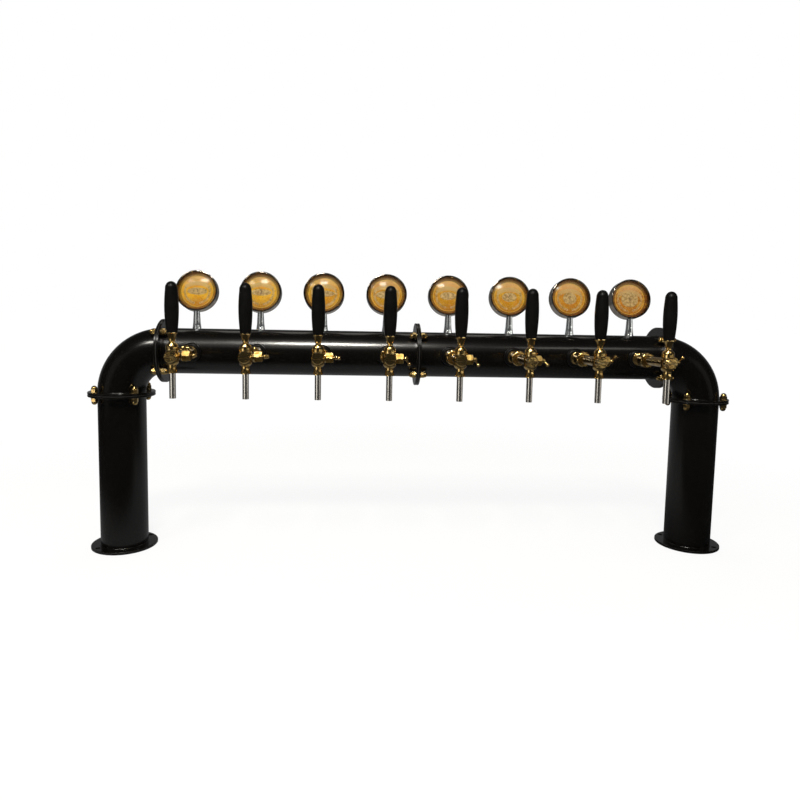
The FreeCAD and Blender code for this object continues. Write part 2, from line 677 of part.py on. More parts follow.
def make_gland_nuts():
    """Hexagon gland nuts on the flow bosses, bored for the spindles."""
    body = new_body("flow_gland_nuts")
    hexagon = new_sketch(body, "NutHexagon", "YZ_Plane", ("-flow_depth", "0", "flow_boss + 0.1"))
    draw_hexagon(hexagon, "flow_nut_flats")
    draw_circle(hexagon, "spindle_diameter + 2 * spindle_play")
    raised(body, hexagon, "flow_nut_end - flow_boss - 0.1", "Nut")
    corner = "(flow_nut_flats / 2 / cos(30) + 0.5)"
    turned(body, "Rounded", "XY_Plane",
           [("flow_nut_end - 2.5", corner), ("flow_nut_end + 0.5", "flow_nut_flats / 2 - 1.4"),
            ("flow_nut_end + 0.5", corner)],
           axis="H_Axis", at=("0", "-flow_depth", "0"), cut=True)
    repeat_at_taps(body)


def make_stems():
    """Stems for the badges: a flared foot on the tube, a thread through it and a sloping top."""
    body = new_body("badge_stems")
    bore = "stem_bore / 2"
    foot = "stem_foot / 2"
    thread = "stem_thread / 2"
    crest = TUBE
    top = f"({crest} + stem_height)"
    turned(body, "Stem", "XZ_Plane",
           [(bore, f"{crest} - 3"), (foot, f"{crest} - 3"), (foot, f"{crest} + 3", "2"),
            (f"{foot} - 0.6", f"{crest} + 4.5"), (f"{foot} - 0.6", f"{crest} + 7", "-60"),
            ("stem_waist / 2", f"{crest} + 19"), ("stem_top / 2", f"{top} + 3"), (bore, f"{top} + 3")])
    saddle = new_sketch(body, "Saddle", "YZ_Plane")
    draw_circle(saddle, "pipe_diameter")
    sunk(body, saddle, "2 * stem_foot", "SaddleCut", both=True)
    slope = new_sketch(body, "Slope", "YZ_Plane")
    draw_profile(slope, [("-8", f"{top} + 8 * tan(badge_lean)"), ("8", f"{top} - 8 * tan(badge_lean)"),
                         ("8", f"{top} + 5"), ("-8", f"{top} + 5")])
    sunk(body, slope, "2 * stem_foot", "SlopeCut", both=True)
    turned(body, "Thread", "XZ_Plane",
           [(bore, f"{crest} - 11"), (thread, f"{crest} - 11"), (thread, f"{crest} + 1"),
            (bore, f"{crest} + 1")])
    repeat_at_taps(body)


def make_stem_nuts():
    """Hexagon nuts inside the tube that hold the stems down."""
    body = new_body("badge_stem_nuts")
    hexagon = new_sketch(body, "NutHexagon", "XY_Plane", ("0", "0", f"{BORE} - 1.1 - stem_nut_height"))
    draw_hexagon(hexagon, "stem_nut_flats")
    draw_circle(hexagon, "stem_thread + 2 * thread_play")
    raised(body, hexagon, "stem_nut_height", "Nut")
    repeat_at_taps(body)


def make_badges():
    """The round badges: housing, printed face, clear dome and the ring that holds them in."""
    rim = BADGE
    wall = f"({BADGE} - badge_wall)"
    back = "(badge_depth / 2)"
    housing = new_body("badge_housings")
    turned(housing, "Shell", "XY_Plane",
           [("0", back), (f"{rim} - 3", back, "-3"), (rim, f"{back} - 3"), (rim, f"-{back} + 3.5"),
            (wall, f"-{back} + 3.5"), (wall, "0"), (f"{wall} - 3", "0"), (f"{wall} - 3", f"{back} - 2.5"),
            ("0", f"{back} - 2.5")])
    wire = new_sketch(housing, "WireHole", "XY_Plane", ("0", "0", f"-{rim} - 1"))
    draw_circle(wire, "stem_bore")
    sunk(housing, wire, "badge_wall + 8", "WireWay", along=True)
    face = new_body("badge_faces")
    turned(face, "Disc", "XY_Plane",
           [("0", "-0.1"), (f"{wall} - 0.3", "-0.1"), (f"{wall} - 0.3", "-1.9"), ("0", "-1.9")])
    lens = new_body("badge_lenses")
    edge = f"({wall} - 1.5)"
    inner = f"({wall} - 3.3)"
    turned(lens, "Dome", "XY_Plane",
           [(inner, "-2"), (f"{wall} - 0.3", "-2"), (f"{wall} - 0.3", "-4.6"),
            (edge, "-5", "-" + dome_radius(edge, "dome_rise")), ("0", "-5 - dome_rise"),
            ("0", "-3.4 - dome_rise", dome_radius(inner, "dome_rise")), (inner, "-3.4")])
    ring = new_body("badge_rings")
    turned(ring, "Ring", "XY_Plane",
           [(f"{wall} - 0.1", f"-{back} + 3.4"), (rim, f"-{back} + 3.4"), (rim, f"-{back} + 1", "-2"),
            (f"{rim} - 1.8", f"-{back}"), (f"{rim} - 3.4", f"-{back} + 1.4"), (f"{wall} - 1.3", "-5.3"),
            (f"{wall} - 0.1", "-5.3")])
    for body in (housing, face, lens, ring):
        row_of(body, "AtEachTap")
        lean_about(body, LEFTWARD, "badge_lean")
        place(body, "-tap_pitch * (tap_count - 1) / 2", f"{BADGE} * sin(badge_lean)",
              f"axis_height + {TUBE} + stem_height + {BADGE} * cos(badge_lean)")


def make_handle(number):
    """The brass lever with its ball and finger, and the black grip on its stud."""
    lever = new_body(f"tap_lever_{number}")
    tip, finger = "finger_radius", "finger_neck"
    ball = "ball_radius"
    rim = "ferrule_diameter / 2"
    stud = "grip_thread / 2"
    cup = "ferrule_height"
    turned(lever, "Lever", "XZ_Plane",
           [("0", f"-finger_length - {tip}", tip),
            (finger, f"-finger_length + sqrt({tip} * {tip} - {finger} * {finger})"),
            (finger, "-finger_length + 4.5"), ("2.8", "-finger_length + 6"),
            ("2.8", f"-sqrt({ball} * {ball} - 7.84)", ball), ("5.5", f"sqrt({ball} * {ball} - 30.25)"),
            ("5.5", "10"), ("6.5", "11.5", "-30"), (f"{rim} - 0.6", f"{cup} - 2"), (rim, f"{cup} - 1.4"),
            (rim, cup), (stud, cup), (stud, f"{cup} + 17"), ("0", f"{cup} + 17")])
    grip = new_body(f"tap_handle_{number}")
    foot = f"({cup} + 0.05)"
    top = f"({foot} + grip_length)"
    hole = "grip_thread / 2 + thread_play"
    crown = dome_radius("(grip_crown / 2)", "grip_crown_rise")
    turned(grip, "Grip", "XZ_Plane",
           [(hole, foot), ("grip_foot / 2", foot, "405"), ("grip_belly / 2", f"{foot} + 50", "386"),
            ("grip_shoulder / 2", f"{top} - 15", "16"),
            ("grip_crown / 2", f"{top} - grip_crown_rise", crown), ("0", top),
            ("0", f"{foot} + 18"), (hole, f"{foot} + 18")])
    for body in (lever, grip):
        place(body, station(number), "-hub_depth", "axis_height + ball_height")


def make_piston(number):
    """The sliding piston that opens and shuts a tap. The finger of the lever stands in its slot."""
    body = new_body(f"valve_piston_{number}")
    land = "piston_diameter / 2"
    back = "(piston_length / 2 + 2)"
    front = "(piston_length / 2 - 2)"
    turned(body, "Piston", "XY_Plane",
           [("0", f"-{front}"), (land, f"-{front}"), (land, "8.5"), ("4.2", "8.5"), ("4.2", "11"),
            (land, "11"), (land, back), ("0", back)])
    pocket = new_sketch(body, "FingerSlot", "XY_Plane", ("0", "0", "-0.1"))
    length = "2.8"
    half = "(finger_radius + 0.8)"
    draw_profile(pocket, [(half, f"-{length}"), (half, length), (f"-{half}", length),
                          (f"-{half}", f"-{length}")])
    sunk(body, pocket, "piston_diameter", "FingerCut", along=True)
    place(body, station(number), "-hub_depth", "axis_height")


def make_flow_lever(number, raised_by):
    """A spindle with a short leaning lever, a ball at its root and a ball at its end."""
    body = new_body(f"flow_lever_{number}")
    thickness = "spindle_diameter / 2"
    turned(body, "Spindle", "XY_Plane",
           [("7", "0"), ("lever_hub", "0"), ("lever_hub", thickness), ("8", thickness),
            ("7", f"{thickness} - 1")], axis="H_Axis")
    root, end, thick, slim = "hub_ball", "end_ball", "2", "1.7"
    turned(body, "Lever", "XY_Plane",
           [("0", f"-lever_reach - {end}", end),
            (slim, f"-lever_reach + sqrt({end} * {end} - {slim} * {slim})"),
            (thick, f"-sqrt({root} * {root} - {thick} * {thick})", root), ("0", root)],
           at=("lever_hub", "0", "0"), turn="lever_lean")
    body.Placement = FreeCAD.Placement(Vector(), FreeCAD.Rotation(LEFTWARD, raised_by))
    place(body, station(number), "-flow_depth", "axis_height")


def check_document():
    """Stop if any object has failed or any piece is empty or broken."""
    doc.recompute()
    failed = [thing.Label for thing in doc.Objects if {"Invalid", "Error"} & set(thing.State)]
    if failed:
        raise RuntimeError(f"not worked out: {failed}")
    broken = [label for label, node in nodes.items() if node.Shape.isNull() or not node.Shape.isValid()]
    if broken:
        raise RuntimeError(f"no sound shape: {broken}")


make_leg("left_leg", f"-{LEG_X}")
make_leg("right_leg", LEG_X)
make_elbow("left_elbow", f"-{LEG_X}", 0)
make_elbow("right_elbow", LEG_X, 180)
make_arm("left_arm", f"(gasket_thickness - {RUN})", "-tap_pitch * (tap_count - 1) / 2")
make_arm("right_arm", "(gasket_thickness / 2)", "tap_pitch / 2")
make_gaskets()
make_joint_hardware()
make_rosettes()
make_shanks()
make_lock_nuts()
make_saddle_washers()
make_coupling_nuts()
make_tap_bodies()
make_bonnet_nuts()
make_front_plugs()
make_spouts()
make_gland_nuts()
make_stems()
make_stem_nuts()
make_badges()
for number, angle in enumerate(FLOW_LEVER_ANGLES, start=1):
    make_handle(number)
    make_piston(number)
    make_flow_lever(number, angle)
check_document()

os.makedirs("parts", exist_ok=True)
for label, node in nodes.items():
    node.Shape.exportStep(f"parts/{label}.step")
print(len(nodes), "pieces written")
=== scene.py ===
import json
import math

import bmesh
import bpy
from mathutils import Euler, Matrix, Vector

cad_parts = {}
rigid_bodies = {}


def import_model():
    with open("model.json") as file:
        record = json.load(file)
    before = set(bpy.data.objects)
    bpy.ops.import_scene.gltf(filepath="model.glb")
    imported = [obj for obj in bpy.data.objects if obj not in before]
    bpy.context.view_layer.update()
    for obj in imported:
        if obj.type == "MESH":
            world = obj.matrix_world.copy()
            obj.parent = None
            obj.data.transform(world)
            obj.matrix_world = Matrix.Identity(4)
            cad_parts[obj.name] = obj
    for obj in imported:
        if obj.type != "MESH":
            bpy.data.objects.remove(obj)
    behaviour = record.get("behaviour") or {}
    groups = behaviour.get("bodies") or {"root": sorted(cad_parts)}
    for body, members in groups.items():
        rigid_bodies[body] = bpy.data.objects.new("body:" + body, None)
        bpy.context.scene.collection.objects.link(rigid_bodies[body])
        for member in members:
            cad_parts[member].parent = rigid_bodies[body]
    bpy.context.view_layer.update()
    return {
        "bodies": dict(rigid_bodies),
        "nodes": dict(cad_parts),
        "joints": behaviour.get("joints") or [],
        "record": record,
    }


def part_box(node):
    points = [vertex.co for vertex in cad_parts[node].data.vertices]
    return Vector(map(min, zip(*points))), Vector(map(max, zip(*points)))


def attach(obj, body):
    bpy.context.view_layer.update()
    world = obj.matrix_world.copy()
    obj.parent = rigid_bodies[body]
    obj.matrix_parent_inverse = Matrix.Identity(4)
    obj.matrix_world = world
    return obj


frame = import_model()

# A beer tower of eight taps on a pale studio floor. Metres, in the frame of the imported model:
# X along the arms, Y away from the person who pours, Z up from the counter.

NODES = frame["nodes"]
TOWER = "tower"
JOINTS = {joint["name"]: joint for joint in frame["joints"]}
TAPS = sum(name.startswith("handle_") for name in frame["bodies"])
STATIONS = [JOINTS[f"handle_{number}_pull"]["pos_m"][0] for number in range(1, TAPS + 1)]
PITCH = STATIONS[1] - STATIONS[0]


def middle(node, letter):
    """The middle of a node's box along X, Y or Z."""
    low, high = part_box(node)
    index = "xyz".index(letter)
    return (low[index] + high[index]) / 2


AXIS_HEIGHT = middle("left_arm", "z")
LEG_X = abs(middle("left_leg", "x"))
# Sizes that no box gives, as the solids have them.
TUBE_RADIUS = 0.051
FOOT_THICKNESS = 0.006
FLANGE_THICKNESS = 0.0045
COLLAR_RADIUS = 0.0143
BADGE_LEAN = math.radians(10)
BADGE_CENTRE = Vector((0, middle("badge_faces", "y"), middle("badge_faces", "z")))
BADGE_RADIUS = 0.0435
BADGE_THICKNESS = 0.0018

# The studio, from 0 for black to 1 for white: what glossy things see of the white backdrop and of
# the room in front of it, and the light that comes from all around.
BACKDROP_LEVEL, ROOM_LEVEL, AMBIENT = 0.16, 0.012, 0.7
# Where the backdrop fades in, by how far a ray points to the back, and where it ends, by how far
# the ray points up.
BACKDROP_SIDE, BACKDROP_TOP = (0.25, 0.85), (0.2, 0.6)
# The floor, in metres: half its width, where it turns white, and the pale patch that glossy things
# see of it in front of the tower (its middle, and its reach sideways and forward) and behind it.
FLOOR_HALF_WIDTH = 30
WHITE_BEYOND = (0.9, 1.9)
PATCH_X, PATCH_SIDE, PATCH_FRONT, PATCH_BEHIND = -0.3, (0.3, 1.1), (0.12, 0.45), (0.3, 1.0)
# How much of the floor near the tower is plain white. The rest is lit, and shows the shadow.
FLOOR_WHITENESS = 0.82
FLOOR_PAINT = (0.86, 0.86, 0.85, 1)
LAMP_COLOUR = (1.0, 0.96, 0.88)

# The camera that was fitted to the photograph, which is 800 pixels square.
CAMERA_AT = Vector((-0.13329, -1.40494, 0.52923))
CAMERA_YAW, CAMERA_PITCH, CAMERA_ROLL = 0.0526, 0.0871, -0.0179
FOCAL_PIXELS = 613.34
PRINCIPAL_POINT = (390.37, 371.95)
FRAME_PIXELS = 800


def join(tree, value, socket):
    """Link a value to a socket, or set the socket to a plain number, colour or thing."""
    if isinstance(value, Value):
        tree.links.new(value.socket, socket)
    else:
        socket.default_value = value


class Value:
    """A node's output that takes part in plain arithmetic."""

    def __init__(self, tree, socket):
        self.tree = tree
        self.socket = socket

    def math(self, operation, *others):
        """The outcome of a Math node that is given this value first, and then the others."""
        node = self.tree.nodes.new("ShaderNodeMath")
        node.operation = operation
        for value, socket in zip((self, *others), node.inputs):
            join(self.tree, value, socket)
        return Value(self.tree, node.outputs[0])

    def __add__(self, other):
        return self.math("ADD", other)

    __radd__ = __add__

    def __sub__(self, other):
        return self.math("SUBTRACT", other)

    def __rsub__(self, other):
        """A plain number minus this value, as this value times -1 plus the number."""
        return self.math("MULTIPLY_ADD", -1, other)

    def __mul__(self, other):
        return self.math("MULTIPLY", other)

    __rmul__ = __mul__

    def __truediv__(self, other):
        return self.math("DIVIDE", other)

    def absolute(self):
        return self.math("ABSOLUTE")

    def below(self, limit):
        """1 where the value is less than the limit, and 0 elsewhere."""
        return self.math("LESS_THAN", limit)

    def between(self, low, high):
        """Rises smoothly from 0 at the low limit to 1 at the high one."""
        node = self.tree.nodes.new("ShaderNodeMapRange")
        node.interpolation_type = "SMOOTHSTEP"
        for name, value in (("Value", self), ("From Min", low), ("From Max", high)):
            join(self.tree, value, node.inputs[name])
        return Value(self.tree, node.outputs[0])


class Nodes:
    """A node tree with one way to add any node."""

    def __init__(self, tree):
        self.tree = tree

    def node(self, kind, inputs=None, output=0, stops=None, **settings):
        node = self.tree.nodes.new(kind)
        for name, value in settings.items():
            setattr(node, name, value)
        if stops:
            ramp = node.color_ramp
            ramp.interpolation = "CONSTANT"
            while len(ramp.elements) < len(stops):
                ramp.elements.new(0.5)
            for element, (position, shade) in zip(ramp.elements, stops):
                element.position = position
                element.color = (*shade, 1)
        for name, value in (inputs or {}).items():
            join(self.tree, value, node.inputs[name])
        return Value(self.tree, node.outputs[output])

    def ray(self, kind):
        """1 for a camera, glossy or transmission ray, and 0 for any other."""
        return self.node("ShaderNodeLightPath", output=f"Is {kind} Ray")


# How many rays a finish sends out to find edges and corners.
EDGE_SAMPLES = 6


class Finish(Nodes):
    """A material. Constants go straight onto the shader's own sockets."""

    def __init__(self, name, **constants):
        self.material = bpy.data.materials.new(name)
        self.material.use_nodes = True
        super().__init__(self.material.node_tree)
        self.shader = self.tree.nodes["Principled BSDF"]
        for socket, value in constants.items():
            self.shader.inputs[socket.replace("_", " ")].default_value = value
        self.place = self.node("ShaderNodeTexCoord", output="Object")

    def put(self, socket, value):
        join(self.tree, value, self.shader.inputs[socket])

    def stretched(self, scale):
        """Object coordinates stretched along each axis."""
        return self.node("ShaderNodeMapping", {"Vector": self.place, "Scale": scale})

    def noise(self, scale, detail, where=None):
        """Cloudy values round 0.5. The scale is roughly the number of clouds in a metre."""
        return self.node("ShaderNodeTexNoise",
                         {"Vector": where or self.place, "Scale": scale, "Detail": detail})

    def blend(self, factor, first, second):
        """A colour between two others."""
        colours = {"Factor": factor, 6: first, 7: second}
        return self.node("ShaderNodeMix", colours, output=2, data_type="RGBA")

    def worn_edges(self, radius, low, high):
        """1 along edges, where a rounded edge would turn away from the face, and 0 between them.
        Finishes lighten these edges, as wear and as painted highlight.
        """
        rounded = self.node("ShaderNodeBevel", {"Radius": radius}, samples=EDGE_SAMPLES)
        face = self.node("ShaderNodeNewGeometry", output="Normal")
        match = self.node("ShaderNodeVectorMath", {0: rounded, 1: face}, output="Value",
                          operation="DOT_PRODUCT")
        return (1 - match).between(low, high)

    def corners(self, distance, low, high):
        """1 deep in corners and 0 where nothing stands within the distance."""
        open_air = self.node("ShaderNodeAmbientOcclusion", {"Distance": distance}, output="AO",
                             samples=EDGE_SAMPLES)
        return 1 - open_air.between(low, high)

    def bump(self, height, depth, strength):
        """Raise the surface by a height of 0 to 1 times a depth in metres."""
        self.put("Normal", self.node("ShaderNodeBump",
                                     {"Height": height, "Distance": depth, "Strength": strength}))


def colour(red, green, blue):
    """A linear colour for a socket."""
    return (red, green, blue, 1)


def black_paint():
    """Semi-gloss powder coat with a faint orange peel, cloudy gloss, a little dust, and rubbed
    edges that are lighter both as wear and as painted highlight."""
    deep, lifted = colour(0.0009, 0.0008, 0.0006), colour(0.0028, 0.0022, 0.0016)
    dusty, rub_and_highlight = colour(0.024, 0.022, 0.019), colour(0.055, 0.048, 0.040)
    finish = Finish("black_paint", Specular_IOR_Level=0.5, Coat_Roughness=0.12)
    cloud = finish.noise(scale=7, detail=4)
    peel = finish.noise(scale=420, detail=3)
    dust = finish.noise(scale=1500, detail=1).between(0.71, 0.80) * cloud
    patches = finish.noise(scale=60, detail=3).between(0.35, 0.7)
    # Rubbed edges: lighter as wear, and partly a painted highlight.
    rubbed = finish.worn_edges(radius=0.0006, low=0.01, high=0.12) * patches
    tone = finish.blend(dust, finish.blend(cloud, deep, lifted), dusty)
    finish.put("Base Color", finish.blend(rubbed, tone, rub_and_highlight))
    finish.put("Roughness", 0.18 + 0.1 * cloud + 0.2 * dust + 0.12 * rubbed)
    finish.put("Coat Weight", 0.25 + 0.3 * cloud)
    finish.bump(peel, depth=0.00008, strength=0.4)
    return finish.material


def brass():
    """Polished golden brass: wavy from the polishing wheel and stained. Its edges are lighter, as
    rubbed brass and as painted highlight, and its corners go dark as painted shade."""
    golden, brown = colour(0.88, 0.60, 0.20), colour(0.48, 0.26, 0.06)
    pale, bright = colour(1.0, 0.78, 0.38), colour(1.0, 0.90, 0.58)
    corner_shade = colour(0.06, 0.028, 0.008)
    finish = Finish("brass", Metallic=1.0, Coat_Roughness=0.05)
    wave = finish.noise(scale=110, detail=1.5)
    stain = finish.noise(scale=75, detail=5).between(0.42, 0.68)
    swirl = finish.noise(scale=620, detail=4)
    # Painted shade: deep in corners the brass goes nearly black.
    shaded_corners = finish.corners(distance=0.007, low=0.25, high=0.85)
    tone = finish.blend(stain * 0.8, golden, brown)
    tone = finish.blend(swirl * 0.3, tone, pale)
    # Lighter edges: rubbed brass, and partly a painted highlight.
    edges = finish.worn_edges(radius=0.0007, low=0.02, high=0.16)
    tone = finish.blend(edges, tone, bright)
    finish.put("Base Color", finish.blend(shaded_corners * 0.85, tone, corner_shade))
    finish.put("Roughness", 0.10 + 0.10 * stain + 0.08 * swirl + 0.25 * shaded_corners)
    finish.put("Coat Weight", 0.7 - 0.5 * stain)
    finish.bump(wave, depth=0.0008, strength=0.45)
    return finish.material


def satin_brass():
    """The duller brass of the gland nuts, rubbed by the spanner, with edges lighter as rubbed brass
    and as painted highlight, and painted shade in its corners.
    """
    yellow, brown = colour(0.62, 0.42, 0.13), colour(0.30, 0.16, 0.035)
    bright, corner_shade = colour(1.0, 0.86, 0.50), colour(0.05, 0.024, 0.008)
    finish = Finish("satin_brass", Metallic=1.0)
    rubbed = finish.noise(scale=160, detail=2).between(0.30, 0.75)
    # Painted shade: deep in corners the nut goes nearly black.
    shaded_corners = finish.corners(distance=0.008, low=0.4, high=0.95)
    tone = finish.blend(rubbed, yellow, brown)
    # Lighter edges: rubbed brass, and partly a painted highlight.
    edges = finish.worn_edges(radius=0.0008, low=0.02, high=0.14)
    tone = finish.blend(edges, tone, bright)
    finish.put("Base Color", finish.blend(shaded_corners * 0.9, tone, corner_shade))
    finish.put("Roughness", 0.34 + 0.2 * rubbed)
    finish.bump(rubbed, depth=0.0004, strength=0.5)
    return finish.material


def chrome():
    """Pale polished plate with faint fingerprints."""
    clean, touched = colour(0.80, 0.84, 0.87), colour(0.62, 0.66, 0.70)
    finish = Finish("chrome", Metallic=0.93)
    fingerprints = finish.noise(scale=55, detail=5).between(0.45, 0.72)
    wave = finish.noise(scale=90, detail=2)
    finish.put("Base Color", finish.blend(fingerprints, clean, touched))
    finish.put("Roughness", 0.06 + 0.14 * fingerprints)
    finish.bump(wave, depth=0.0005, strength=0.4)
    return finish.material


def smoked_chrome():
    """The dark plate on the housing and ring of a badge, with lighter rubs, and edges lighter as
    worn plate and as painted highlight.
    """
    dark, rubbed = colour(0.20, 0.175, 0.15), colour(0.32, 0.29, 0.26)
    bright = colour(0.75, 0.72, 0.66)
    finish = Finish("smoked_chrome", Metallic=1.0)
    rubs = finish.noise(scale=70, detail=3).between(0.35, 0.75)
    # Lighter edges: worn plate, and partly a painted highlight.
    edges = finish.worn_edges(radius=0.0005, low=0.02, high=0.16)
    finish.put("Base Color", finish.blend(edges, finish.blend(rubs, dark, rubbed), bright))
    finish.put("Roughness", 0.10 + 0.08 * rubs)
    finish.bump(rubs, depth=0.0002, strength=0.3)
    return finish.material


def stainless():
    """Stainless steel tube, drawn along its length, so fine lines run up and down."""
    dull, clean = colour(0.47, 0.455, 0.43), colour(0.62, 0.60, 0.57)
    finish = Finish("stainless", Metallic=1.0)
    lines = finish.noise(scale=40, detail=2, where=finish.stretched((14, 14, 0.3)))
    cloud = finish.noise(scale=40, detail=3)
    finish.put("Base Color", finish.blend(lines, dull, clean))
    finish.put("Roughness", 0.13 + 0.09 * lines + 0.06 * cloud)
    finish.bump(lines, depth=0.00001, strength=0.2)
    return finish.material


def black_plastic():
    """Moulded black plastic, softly glossy, with slight flow marks and handling haze."""
    deep, lifted = colour(0.0018, 0.0017, 0.0016), colour(0.0050, 0.0048, 0.0045)
    finish = Finish("black_plastic", Specular_IOR_Level=0.14)
    haze = finish.noise(scale=45, detail=4)
    flow = finish.noise(scale=16, detail=2, where=finish.stretched((1, 1, 0.3)))
    finish.put("Base Color", finish.blend(haze, deep, lifted))
    finish.put("Roughness", 0.26 + 0.16 * haze)
    finish.bump(flow, depth=0.0007, strength=0.3)
    return finish.material


def gasket_rubber():
    """Dark rubber sheet with a fine matt grain."""
    dark, grey = colour(0.012, 0.012, 0.012), colour(0.03, 0.029, 0.028)
    finish = Finish("gasket_rubber", Specular_IOR_Level=0.3)
    grain = finish.noise(scale=900, detail=3)
    finish.put("Base Color", finish.blend(grain, dark, grey))
    finish.put("Roughness", 0.62 + 0.2 * grain)
    finish.bump(grain, depth=0.0001, strength=0.6)
    return finish.material


def clear_plastic():
    """The clear, slightly warm dome over a badge, with the faintest scratches."""
    finish = Finish("clear_plastic", Base_Color=colour(1.0, 0.97, 0.89), Transmission_Weight=1.0,
                    IOR=1.22)
    scratches = finish.noise(scale=80, detail=3, where=finish.stretched((6, 1, 1)))
    finish.put("Roughness", 0.11 + 0.06 * scratches)
    return finish.material


# What fills each badge, from the left tap to the right, and the size in metres of its pale plaque.
FIELD_COLOURS = [(0.84, 0.46, 0.008), (0.86, 0.50, 0.020), (0.76, 0.42, 0.012), (0.60, 0.31, 0.004),
                 (0.58, 0.28, 0.004), (0.60, 0.30, 0.006), (0.58, 0.24, 0.008), (0.40, 0.12, 0.006)]
PLAQUES = [(0.044, 0.016), (0.046, 0.015), (0.050, 0.014), (0.048, 0.018),
           (0.038, 0.018), (0.034, 0.022), (0.032, 0.028), (0.040, 0.036)]
RIM_COLOUR = colour(0.07, 0.018, 0.003)
# A painted highlight for the top of a badge. Next, the dark brown of its flecks and of the painted
# shade below its middle.
TOP_HIGHLIGHT = colour(0.78, 0.53, 0.25)
LOW_COLOUR = colour(0.36, 0.12, 0.004)
AMBER = colour(0.62, 0.22, 0.008)
STRAW = colour(0.74, 0.47, 0.06)
CREAM = colour(0.58, 0.43, 0.20)
# How many rays the field has, the two printed rings (radius and half their width, in shares of the
# badge's radius, and colour), and how much the prints glow. The glow is painted light: it stands in
# for the lamp behind such badges and for the lamp light that the dome holds back.
RAYS = 20
RINGS = [(0.79, 0.014, STRAW), (0.84, 0.010, RIM_COLOUR)]
PAINTED_GLOW = 0.25


def badge_print():
    """A round print: a mottled golden field, with a painted highlight above and painted shade
    below, and with rays, a banner and rings."""
    # The print glows: painted light for a backlight and for lamp light that the dome holds back.
    finish = Finish("badge_print", Specular_IOR_Level=0.4, Roughness=0.35, Emission_Strength=PAINTED_GLOW)
    across = finish.node("ShaderNodeSeparateXYZ", {0: finish.place}, output="X")
    height = finish.node("ShaderNodeSeparateXYZ", {0: finish.place}, output="Z")
    # Which badge this is, and the place on it, in shares of its radius from its middle.
    station = ((across - STATIONS[0]) / PITCH).math("ROUND")
    right = (across - STATIONS[0] - station * PITCH) / BADGE_RADIUS
    up = (height - BADGE_CENTRE.z) / (BADGE_RADIUS * math.cos(BADGE_LEAN))
    reach = (right * right + up * up).math("SQRT")
    angle = up.math("ARCTAN2", right)

    stops = [(max(0, (index - 0.5) / (TAPS - 1)), shade)
             for index, shade in enumerate(FIELD_COLOURS)]
    field = finish.node("ShaderNodeValToRGB", {0: station / (TAPS - 1)}, stops=stops)
    rays = (angle * RAYS).math("SINE").between(-0.3, 0.9) * reach.between(0.3, 0.6)
    mottle = finish.noise(scale=120, detail=5)
    fleck = finish.noise(scale=330, detail=3)
    cloud = finish.noise(scale=42, detail=2)
    tone = finish.blend(rays * 0.3, field, STRAW)
    tone = finish.blend(cloud.between(0.42, 0.62) * 0.55, tone, AMBER)
    tone = finish.blend(mottle.between(0.45, 0.66) * 0.6, tone, STRAW)
    tone = finish.blend((1 - fleck).between(0.50, 0.68) * 0.5, tone, LOW_COLOUR)
    # Painted highlight towards the top, and painted shade towards the bottom.
    tone = finish.blend(up.between(0.15, 0.8) * 0.65, tone, TOP_HIGHLIGHT)
    tone = finish.blend((0 - up).between(0.15, 0.9) * 0.75, tone, LOW_COLOUR)
    tone = finish.blend(reach.between(0.74, 0.98) * 0.9, tone, RIM_COLOUR)
    # The banner is a pale arch above the middle, which ends short of the rings.
    arch = up - 0.42 + right * right * 0.55
    banner = arch.absolute().between(0.13, 0.09) * right.absolute().between(0.66, 0.6)
    tone = finish.blend(banner * 0.6, tone, CREAM)
    for radius, width, shade in RINGS:
        ring = (reach - radius).absolute().below(width)
        tone = finish.blend(ring * 0.8, tone, shade)
    finish.put("Base Color", tone)
    finish.put("Emission Color", tone)
    return finish.material


def cream_print():
    """The pale plaque and the ears of barley on a badge."""
    pale, stained = colour(0.62, 0.46, 0.21), colour(0.36, 0.21, 0.06)
    # The plaque and ears glow as well: the same painted light.
    finish = Finish("cream_print", Roughness=0.35, Emission_Strength=PAINTED_GLOW)
    mottle = finish.noise(scale=230, detail=4)
    tone = finish.blend(mottle.between(0.35, 0.65), pale, stained)
    finish.put("Base Color", tone)
    finish.put("Emission Color", tone)
    return finish.material


def number_print():
    """The dark brown of the tap's number."""
    dark, faded = colour(0.14, 0.065, 0.02), colour(0.26, 0.13, 0.05)
    finish = Finish("number_print", Roughness=0.4)
    mottle = finish.noise(scale=300, detail=3)
    finish.put("Base Color", finish.blend(mottle, dark, faded))
    return finish.material


PAINT = black_paint()
BRASS = brass()
SATIN_BRASS = satin_brass()
CHROME = chrome()
SMOKED_CHROME = smoked_chrome()
STEEL = stainless()
PLASTIC = black_plastic()
RUBBER = gasket_rubber()
CLEAR = clear_plastic()
PRINT = badge_print()
CREAM_PRINT = cream_print()
NUMBER_PRINT = number_print()

FINISHES = {"black_paint": PAINT, "brass": BRASS, "chrome": CHROME, "stainless": STEEL,
            "black_plastic": PLASTIC, "gasket_rubber": RUBBER, "clear": CLEAR, "badge_print": PRINT}
OTHER_FINISHES = {"flow_gland_nuts": SATIN_BRASS, "badge_housings": SMOKED_CHROME,
                  "badge_rings": SMOKED_CHROME}


def dress_nodes():
    """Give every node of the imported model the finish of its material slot, or one of its own."""
    for entry in frame["record"]["subparts"]:
        mesh = NODES[entry["node"]].data
        mesh.materials.clear()
        mesh.materials.append(OTHER_FINISHES.get(entry["node"], FINISHES[entry["material_slot"]]))


